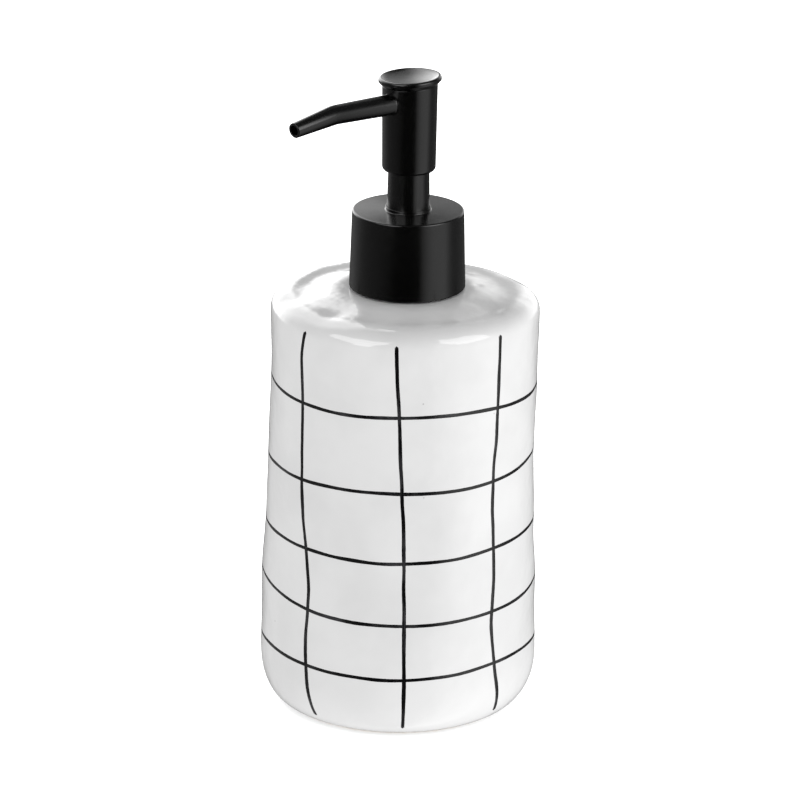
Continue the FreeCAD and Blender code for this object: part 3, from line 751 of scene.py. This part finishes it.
class DISPENSER_OT_closure(bpy.types.Operator):
    """Turns the screw closure and the guide tower that stands in it"""
    bl_idname = "dispenser.closure"
    bl_label = "Closure and tower"

    def execute(self, context):
        p = context.scene.dispenser_pump
        top = CLOSURE_HIGH.z - p.bead_height
        low = CLOSURE_LOW.z
        rim = CLOSURE_HIGH.x
        slope = (p.tower_base - p.tower_top) / (TOWER_HIGH.z - top)
        hole = p.tower_base + 0.07 * MM
        bead = hole + p.bead
        shell = closed(rounded([
            (p.closure_cavity, low, 0.15 * MM),
            (rim, low, 0.3 * MM),
            (p.closure_top_radius, top, p.closure_edge),
            (bead, top, 0.3 * MM),
            (bead, CLOSURE_HIGH.z, 0.12 * MM),
            (hole, CLOSURE_HIGH.z, 0.05 * MM),
            (hole, top - p.closure_plate, 0),
            (p.closure_cavity, top - p.closure_plate, 0.3 * MM),
        ], steps=8))
        sleeve = turned("closure_sleeve", shell, 160)
        give(sleeve, "closure", finish(BLACK), ["closure_shell"])
        flange_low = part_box("pump_housing")[1].z
        flange_high = flange_low + p.flange
        flange_radius = TOWER_HIGH.x
        pocket_floor = TOWER_HIGH.z - p.pocket_depth
        tower = closed(rounded([
            (p.tower_bore, TOWER_LOW.z, 0.2 * MM),
            (p.skirt, TOWER_LOW.z, 0.5 * MM),
            (p.skirt, flange_low, 0),
            (flange_radius, flange_low, 0.2 * MM),
            (flange_radius, flange_high, 0.2 * MM),
            (p.tower_base + slope * (top - flange_high), flange_high, 0.3 * MM),
            (p.tower_top, TOWER_HIGH.z, 0.4 * MM),
            (p.tower_pocket, TOWER_HIGH.z, 0.1 * MM),
            (p.tower_pocket, pocket_floor, 0),
            (p.tower_bore, pocket_floor, 0.15 * MM),
        ], steps=6))
        guide = turned("guide_sleeve", tower, 96)
        give(guide, "pump_body", finish(BLACK), ["guide_tower"])
        return {"FINISHED"}


class DISPENSER_OT_head(bpy.types.Operator):
    """Turns the push-down head and its dished cap"""
    bl_idname = "dispenser.head"
    bl_label = "Head and cap"

    def execute(self, context):
        p = context.scene.dispenser_pump
        low = HEAD_LOW.z
        shell = closed(rounded([
            (p.head_lip, low, 0.1 * MM),
            (p.head_radius, low, p.head_edge),
            (p.head_top, p.cap_plane, 0.12 * MM),
            (p.head_cavity, p.cap_plane, 0),
            (p.head_cavity, low + p.head_edge + 0.2 * MM, 0),
            (p.head_lip, low + p.head_edge, 0.1 * MM),
        ], steps=8))
        case = turned("head_case", shell, 128)
        self.tilt_top(case, p)
        give(case, "plunger", finish(BLACK), ["head_shell"])
        rim = p.cap_thickness
        plug = p.head_cavity - 0.06 * MM
        outline = rounded([
            (0.0, -p.cap_plug, 0),
            (plug, -p.cap_plug, 0.1 * MM),
            (plug, 0.02 * MM, 0),
            (p.head_top - 0.04 * MM, 0.02 * MM, 0.1 * MM),
            (p.cap_radius, p.cap_cone, 0.25 * MM),
            (p.cap_radius, rim, 0.65 * MM),
            (p.cap_radius - p.cap_rim, rim, 0.22 * MM),
        ], steps=7)
        reach = p.cap_radius - p.cap_rim - 0.05 * MM
        step_down = 0.12 * MM
        rings = 10
        for ring in range(1, rings + 1):
            outward = 1 - ring / rings
            sunk = step_down + (p.cap_dish - step_down) * (1 - outward ** 2)
            outline.append(Vector((reach * outward, rim - sunk)))
        cap = turned("head_button", outline, 128)
        bpy.ops.object.mode_set(mode="EDIT")
        bpy.ops.mesh.select_all(action="SELECT")
        bpy.ops.transform.translate(value=(0, 0, p.cap_plane))
        bpy.ops.object.mode_set(mode="OBJECT")
        self.tilt_top(cap, p)
        give(cap, "plunger", finish(BLACK), ["head_cap"])
        return {"FINISHED"}

    def tilt_top(self, piece, p):
        """Leans what is near the cap's plane towards the cap's low side."""
        towards = Vector((math.cos(p.cap_low_side), math.sin(p.cap_low_side), 0))
        reach = 3 * MM
        for vertex in piece.data.vertices:
            near = smooth((vertex.co.z - p.cap_plane + reach) / (reach - 0.8 * MM))
            vertex.co.z -= vertex.co.dot(towards) * math.tan(p.cap_tilt) * near


class DISPENSER_OT_spout(bpy.types.Operator):
    """Draws the spout out of the head, bends it and hollows its end"""
    bl_idname = "dispenser.spout"
    bl_label = "Spout"

    def execute(self, context):
        p = context.scene.dispenser_pump
        rise, fall = p.spout_rise, p.spout_fall
        corner = Vector((0, -p.spout_corner, p.spout_height + p.spout_corner * math.tan(rise)))
        trim = p.spout_bend * math.tan((rise + fall) / 2)

        def ahead(slope):
            return Vector((0, -math.cos(slope), math.sin(slope)))

        surface = p.head_top - 0.1 * MM
        root = corner - ahead(rise) * ((p.spout_corner - p.spout_start) / math.cos(rise))
        stations = [(root, p.spout_root, rise)]
        for step in range(5):
            along = step * 0.1 * MM
            flare = p.spout_flare * (1 - step / 4) ** 2
            point = corner - ahead(rise) * ((p.spout_corner - surface - along) / math.cos(rise))
            stations.append((point, p.spout_root + flare, rise))
        bend_start = corner - ahead(rise) * trim
        centre = bend_start - Vector((0, math.sin(rise), math.cos(rise))) * p.spout_bend
        bends = 8
        for step in range(bends + 1):
            slope = rise - (rise + fall) * step / bends
            arm = Vector((0, math.sin(slope), math.cos(slope))) * p.spout_bend
            stations.append((centre + arm, p.spout_middle, slope))
        last = ahead(-fall)
        tip = corner + last * ((p.spout_reach - p.spout_corner) / math.cos(fall))
        lip = p.spout_lip
        for step in range(6):
            angle = math.pi / 2 * step / 5
            place = tip - last * lip * (1 - math.sin(angle))
            stations.append((place, p.spout_tip - lip * (1 - math.cos(angle)), -fall))
        inner = 0.12 * MM
        for step in range(5):
            angle = math.pi / 2 * step / 4
            place = tip - last * inner * (1 - math.cos(angle))
            stations.append((place, p.spout_bore + inner * (1 - math.sin(angle)), -fall))
        stations.append((tip - last * p.spout_hollow, p.spout_bore, -fall))
        piece = self.drawn_out("spout_nozzle", stations)
        give(piece, "plunger", finish(BLACK), ["spout"])
        return {"FINISHED"}

    def drawn_out(self, name, stations):
        """A round bar drawn from station to station, each (centre, radius, slope of its line)."""
        here, radius, slope = stations[0]
        bpy.ops.object.select_all(action="DESELECT")
        bpy.ops.mesh.primitive_circle_add(
            vertices=64, radius=radius, fill_type="NGON", location=here,
            rotation=(math.pi / 2 - slope, 0, 0))
        piece = name_new(name)
        bpy.ops.object.transform_apply(location=True, rotation=True, scale=True)
        bpy.ops.object.mode_set(mode="EDIT")
        bpy.ops.mesh.select_all(action="SELECT")
        for there, next_radius, next_slope in stations[1:]:
            bpy.ops.mesh.extrude_region_move(TRANSFORM_OT_translate={"value": there - here})
            ratio = next_radius / radius
            bpy.ops.transform.resize(value=(ratio, ratio, ratio), center_override=there)
            if next_slope != slope:
                bpy.ops.transform.rotate(
                    value=next_slope - slope, orient_axis="X", orient_type="GLOBAL", center_override=there)
            here, radius, slope = there, next_radius, next_slope
        return finish_shape(piece, 35)


class DISPENSER_OT_spring(bpy.types.Operator):
    """Winds the return spring"""
    bl_idname = "dispenser.spring"
    bl_label = "Return spring"

    def execute(self, context):
        p = context.scene.dispenser_pump
        low, high = SPRING_LOW.z + p.wire, SPRING_HIGH.z - p.wire
        radius = SPRING_HIGH.x - p.wire
        bpy.ops.object.select_all(action="DESELECT")
        bpy.ops.mesh.primitive_circle_add(
            vertices=14, radius=p.wire, fill_type="NOTHING", location=(radius, 0, low),
            rotation=(math.pi / 2, 0, 0))
        piece = name_new("wound_spring")
        bpy.ops.object.transform_apply(location=True, rotation=True, scale=True)
        wind = piece.modifiers.new("Coils", "SCREW")
        wind.angle = math.tau
        wind.iterations = p.coils
        wind.screw_offset = (high - low) / p.coils
        wind.steps = 48
        wind.render_steps = 48
        bpy.ops.object.modifier_apply(modifier=wind.name)
        bpy.ops.object.mode_set(mode="EDIT")
        bpy.ops.mesh.select_all(action="DESELECT")
        bpy.ops.mesh.select_non_manifold()
        bpy.ops.mesh.edge_face_add()
        finish_shape(piece, 40)
        give(piece, "spring_body", finish("drawn_stainless_wire"), ["return_spring"])
        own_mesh(piece)
        return {"FINISHED"}


CARRIED = {
    "neck_insert": "plain_black_polypropylene",
    "closure_nut": "plain_black_polypropylene",
    "pump_housing": "natural_polypropylene",
    "ball_cage": "natural_polypropylene",
    "piston_stem": "natural_polypropylene",
    "head_core": "natural_polypropylene",
    "piston_plug": "natural_polypropylene",
    "piston_seal": "soft_white_polyethylene",
    "dip_tube": "extruded_polyethylene",
    "neck_gasket": RUBBER,
    "stem_wiper": RUBBER,
    "inlet_ball": "ground_stainless_ball",
    "outlet_ball": "ground_stainless_ball",
}


class DISPENSER_OT_carried_parts(bpy.types.Operator):
    """Gives the pump's inner parts their plastics, rubber and steel"""
    bl_idname = "dispenser.carried_parts"
    bl_label = "Inner parts' finishes"

    def execute(self, context):
        for node, finish_name in CARRIED.items():
            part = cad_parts[node]
            part.data.materials.clear()
            part.data.materials.append(finish(finish_name))
        return {"FINISHED"}


# How bright the room is that gloss reflects: (bearing in degrees, brightness) round it. The
# bearing is 0 on the camera's side, 90 on its right and 180 behind the object.
ROOM_BELOW = (
    (-180, 0.1), (-155, 0.16), (-138, 0.28), (-118, 0.26), (-98, 0.2), (-60, 0.15), (-40, 0.08),
    (-25, 0.008), (24, 0.006), (31, 0.36), (44, 0.78), (54, 0.95), (80, 0.93), (90, 0.5), (100, 0.22),
    (111, 0.16), (130, 0.14), (150, 0.1), (180, 0.1),
)
ROOM_LEVEL = (
    (-180, 0.4), (-178.5, 0.55), (-174.5, 3.9), (-140, 3.6), (-115, 0.6), (-98, 0.15), (-40, 0.08),
    (-25, 0.02), (24, 0.02), (33, 0.9), (86, 0.9), (98, 0.2), (122, 0.2), (150, 1.6), (171, 2.0),
    (177, 0.55), (180, 0.4),
)
ROOM_ABOVE = (
    (-180, 0.05), (-177, 0.15), (-173, 2.6), (-140, 2.8), (-105, 0.6), (-60, 0.1), (40, 0.1), (86, 0.2),
    (98, 0.1), (150, 0.1), (165, 0.3), (174, 0.1), (180, 0.05),
)
ROOM_TOP = 0.08

# Two soft boxes in front, above the eye: where they are, and how far up their slanting lower
# edges reach, as a share of SILL_RISE.
BOXES = ((-78, 0), (-75, 1), (-17, 1), (-14, 0), (33, 0), (36, 1), (78, 1), (81, 0))
SILLS = ((-76, 1), (-29, 0.17), (-16, 1), (34, 0.7), (50, 0.1), (78, 0.5))
SILL_RISE = 36
BOX_BRIGHTNESS = 3.2

# The light on matt surfaces, round the room, overhead and in all.
SOFT_LIGHT = ((-180, 0.75), (-150, 0.95), (-90, 0.59), (0, 0.53), (50, 0.85), (110, 0.95), (180, 0.75))
SOFT_TOP = 0.27
SOFT_STRENGTH = 1.6


class DISPENSER_OT_stage(bpy.types.Operator):
    """Lays the pale floor, hangs the soft light and places the camera"""
    bl_idname = "dispenser.stage"
    bl_label = "Stage"

    def execute(self, context):
        stage = context.scene.dispenser_stage
        self.lay_floor(context)
        self.light_room(context, stage)
        self.place_camera(context, stage)
        context.scene.view_settings.view_transform = "Standard"
        return {"FINISHED"}

    def lay_floor(self, context):
        bpy.ops.object.select_all(action="DESELECT")
        bpy.ops.mesh.primitive_plane_add(size=30, location=(0, 0, 0))
        floor = name_new("studio_floor")
        material, tree, place = new_material("matt_white_board")
        colour = mix(tree, patches(tree, place, 60, 2.0), linear("#f6f6f6"), linear("#f9f9f9"))
        shader = add(tree, "BsdfPrincipled", Base_Color=colour, Roughness=0.9, Specular_IOR_Level=0.0)
        close_material(tree, shader)
        floor.data.materials.append(material)
        floor.visible_glossy = False
        floor.visible_diffuse = False
        # a soft overhead light for the board alone keeps it white under the bottle
        data = bpy.data.lights.new("board_light", "SUN")
        data.energy = 5.0
        data.angle = math.radians(100)
        lamp = bpy.data.objects.new("board_light", data)
        context.scene.collection.objects.link(lamp)
        only_floor = bpy.data.collections.new("board_only")
        only_floor.objects.link(floor)
        lamp.light_linking.receiver_collection = only_floor

    def light_room(self, context, stage):
        """A pale room, seen in one way by gloss, in another by matt surfaces, and white beyond."""
        world = bpy.data.worlds.new("soft_room")
        context.scene.world = world
        world.use_nodes = True
        world.cycles.sampling_method = "NONE"
        tree = world.node_tree
        tree.nodes.clear()
        place = (add(tree, "TexCoord"), "Generated")
        # the room turns with the stage, so that its front faces the camera's side
        turned_room = add(tree, "Mapping", {"vector_type": "VECTOR"}, Vector=place,
                          Rotation=(0, 0, math.pi / 2 - stage.azimuth))
        axes = add(tree, "SeparateXYZ", Vector=(turned_room, "Vector"))
        bearing = maths(tree, "ARCTAN2", (axes, "Y"), (axes, "X"))
        around = evenly(tree, bearing, 0.0, 1.0, -math.pi, math.pi)
        height = maths(tree, "ARCSINE", (axes, "Z"))

        def walls(stops):
            places = [((degrees + 180) / 360, grey(level)) for degrees, level in stops]
            return add(tree, "ValToRGB", {"stops": places}, Fac=around), "Color"

        def climb(low, high):
            """0 below one height of the room, 1 above the other, in degrees."""
            return fade(tree, height, math.radians(low), math.radians(high))

        def dimmed(colour, by):
            return add(tree, "VectorMath", {"operation": "SCALE"}, Vector=colour, Scale=by), "Vector"

        low_half = mix(tree, climb(-12, 0), walls(ROOM_BELOW), walls(ROOM_LEVEL))
        seen = mix(tree, climb(11, 34), low_half, walls(ROOM_ABOVE))
        capped = mix(tree, climb(50, 75), seen, grey(ROOM_TOP))
        over_sill = maths(tree, "MULTIPLY_ADD", walls(SILLS), -math.radians(SILL_RISE), height)
        opened = evenly(tree, over_sill, 0.0, 1.0, math.radians(-8), math.radians(-6))
        lid = evenly(tree, height, BOX_BRIGHTNESS, 0.0, math.radians(40), math.radians(44))
        boxes = dimmed(dimmed(walls(BOXES), opened), lid)
        gloss = add(tree, "VectorMath", {"operation": "ADD"}, i0=capped, i1=boxes)
        mixed = mix(tree, climb(15, 60), walls(SOFT_LIGHT), grey(SOFT_TOP))
        path = add(tree, "LightPath")
        by_gloss = mix(tree, (path, "Is Glossy Ray"), dimmed(mixed, SOFT_STRENGTH), (gloss, "Vector"))
        by_eye = mix(tree, (path, "Is Camera Ray"), by_gloss, grey(1.0))
        background = add(tree, "Background", Color=by_eye, Strength=1.0)
        add(tree, "OutputWorld", Surface=(background, "Background"))

    def place_camera(self, context, stage):
        azimuth, elevation = stage.azimuth, stage.elevation
        back = Vector((
            math.sin(azimuth) * math.cos(elevation),
            -math.cos(azimuth) * math.cos(elevation),
            math.sin(elevation),
        ))
        right = Vector((math.cos(azimuth), math.sin(azimuth), 0))
        aim = Vector((0, 0, stage.aim_height)) + right * stage.aim_side
        data = bpy.data.cameras.new("studio_camera")
        data.lens = stage.lens
        data.sensor_width = 36
        data.clip_start = 0.05
        data.clip_end = 60
        camera = bpy.data.objects.new("studio_camera", data)
        context.scene.collection.objects.link(camera)
        camera.rotation_mode = "QUATERNION"
        camera.location = aim + back * stage.distance
        level = (-back).to_track_quat("-Z", "Y")
        camera.rotation_quaternion = level @ Quaternion((0, 0, 1), stage.roll)
        context.scene.camera = camera


PIECES = (
    DISPENSER_OT_bottle,
    DISPENSER_OT_painted_lines,
    DISPENSER_OT_closure,
    DISPENSER_OT_head,
    DISPENSER_OT_spout,
    DISPENSER_OT_spring,
    DISPENSER_OT_carried_parts,
    DISPENSER_OT_stage,
)

SETTINGS = {
    "dispenser_bottle": BottleSettings,
    "dispenser_paint": PaintSettings,
    "dispenser_pump": PumpSettings,
    "dispenser_finish": FinishSettings,
    "dispenser_stage": StageSettings,
}


class DISPENSER_PT_sidebar(bpy.types.Panel):
    """Lists the pieces and their settings"""
    bl_idname = "DISPENSER_PT_sidebar"
    bl_label = "Soap pump dispenser"
    bl_space_type = "VIEW_3D"
    bl_region_type = "UI"
    bl_category = "Dispenser"

    def draw(self, context):
        for piece in PIECES:
            self.layout.operator(piece.bl_idname)
        for name in SETTINGS:
            box = self.layout.box()
            group = getattr(context.scene, name)
            for setting in group.bl_rna.properties:
                if setting.identifier not in ("name", "rna_type"):
                    box.prop(group, setting.identifier)


def register():
    for name, group in SETTINGS.items():
        bpy.utils.register_class(group)
        setattr(bpy.types.Scene, name, bpy.props.PointerProperty(type=group))
    for operator in PIECES:
        bpy.utils.register_class(operator)
    bpy.utils.register_class(DISPENSER_PT_sidebar)


def unregister():
    bpy.utils.unregister_class(DISPENSER_PT_sidebar)
    for operator in reversed(PIECES):
        bpy.utils.unregister_class(operator)
    for name, group in SETTINGS.items():
        delattr(bpy.types.Scene, name)
        bpy.utils.unregister_class(group)


def main():
    register()
    for operator in PIECES:
        call = getattr(bpy.ops.dispenser, operator.bl_idname.split(".")[1])
        call()


if __name__ == "__main__":
    main()
